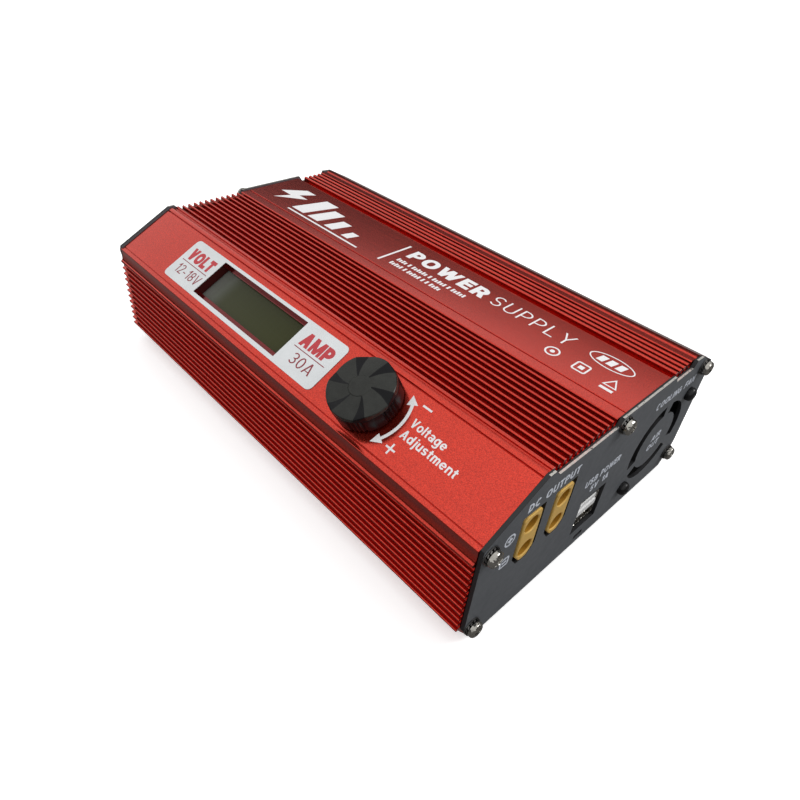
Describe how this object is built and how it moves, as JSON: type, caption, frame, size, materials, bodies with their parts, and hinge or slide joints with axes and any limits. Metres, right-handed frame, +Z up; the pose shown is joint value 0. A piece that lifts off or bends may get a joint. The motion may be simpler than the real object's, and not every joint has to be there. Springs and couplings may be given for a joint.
{
  "type": "bench power supply",
  "caption": "Finned red aluminium bench DC power supply with a sloped control panel, display window, adjustment knob, DC output sockets and a cooling fan.",
  "frame": {"origin": "middle of the footprint on the plane the four rubber feet stand on", "axes": "+X along the extrusion towards the DC output end plate, +Y from the control slope to the back, +Z up"},
  "size_m": [0.2409, 0.1418, 0.072],
  "materials": {
    "red_anodised": "satin red anodising on extruded aluminium",
    "slate_paint": "matte dark slate grey powder coat",
    "zinc_steel": "bright nickel plated steel",
    "black_steel": "black oxide",
    "black_plastic": "matte black",
    "knob_black": "satin black with facets",
    "amber_nylon": "amber yellow nylon",
    "gold_brass": "gold plated",
    "silver_label": "satin silver print",
    "display_glass": "dark olive glass of an unlit display",
    "white_plastic": "white",
    "circuit_board": "green solder mask",
    "bare_aluminium": "mill finish",
    "capacitor_sleeve": "dark blue sleeve",
    "copper_winding": "enamelled copper",
    "ferrite": "dark grey ferrite",
    "cream_tape": "cream tape and bobbin",
    "foot_rubber": "black rubber"
  },
  "bodies": {
    "case": {"ac_inlet": "black_plastic", "bottom_cover": "red_anodised", "bridge_rectifier": "black_plastic", "bulk_capacitor_1": "capacitor_sleeve", "bulk_capacitor_2": "capacitor_sleeve", "case_extrusion": "red_anodised", "contact_minus_1": "gold_brass", "contact_minus_2": "gold_brass", "contact_plus_1": "gold_brass", "contact_plus_2": "gold_brass", "control_board": "circuit_board", "dc_socket_1": "amber_nylon", "dc_socket_2": "amber_nylon", "display_label": "silver_label", "fan_frame": "black_plastic", "fan_screw_1": "black_steel", "fan_screw_2": "black_steel", "heatsink_primary": "bare_aluminium", "heatsink_secondary": "bare_aluminium", "inlet_pin_earth": "gold_brass", "inlet_pin_line": "gold_brass", "inlet_pin_neutral": "gold_brass", "input_end_plate": "slate_paint", "input_plate_screw_1": "zinc_steel", "input_plate_screw_2": "zinc_steel", "input_plate_screw_3": "zinc_steel", "input_plate_screw_4": "zinc_steel", "input_plate_screw_5": "zinc_steel", "lcd_backlight": "white_plastic", "lcd_bezel": "black_steel", "lcd_glass": "display_glass", "line_filter": "cream_tape", "main_board": "circuit_board", "output_board": "circuit_board", "output_capacitor_1": "capacitor_sleeve", "output_capacitor_2": "capacitor_sleeve", "output_end_plate": "slate_paint", "output_inductor": "copper_winding", "output_plate_screw_1": "zinc_steel", "output_plate_screw_2": "zinc_steel", "output_plate_screw_3": "zinc_steel", "output_plate_screw_4": "zinc_steel", "output_plate_screw_5": "zinc_steel", "pfc_choke": "copper_winding", "potentiometer_body": "black_steel", "potentiometer_nut": "zinc_steel", "rocker_frame": "black_plastic", "rubber_foot_1": "foot_rubber", "rubber_foot_2": "foot_rubber", "rubber_foot_3": "foot_rubber", "rubber_foot_4": "foot_rubber", "transformer_core": "ferrite", "transformer_winding": "cream_tape", "usb_shell": "zinc_steel", "usb_tongue": "white_plastic"},
    "knob": {"voltage_knob": "knob_black", "potentiometer_shaft": "zinc_steel"},
    "fan": {"fan_rotor": "black_plastic"},
    "rocker": {"rocker_button": "black_plastic"}
  },
  "joints": [
    {"name": "knob_turn", "type": "hinge", "parent": "case", "child": "knob", "pos_m": [0.0505, -0.05454, 0.05799], "axis": [0, -0.4548, 0.8906], "range_deg": [-150, 150]},
    {"name": "fan_spin", "type": "hinge", "parent": "case", "child": "fan", "pos_m": [0.11, 0.0413, 0.031], "axis": [1, 0, 0], "continuous": true},
    {"name": "rocker_tilt", "type": "hinge", "parent": "case", "child": "rocker", "pos_m": [-0.1148, -0.0049, 0.032], "axis": [0, 1, 0], "range_deg": [0, 16]}
  ]
}
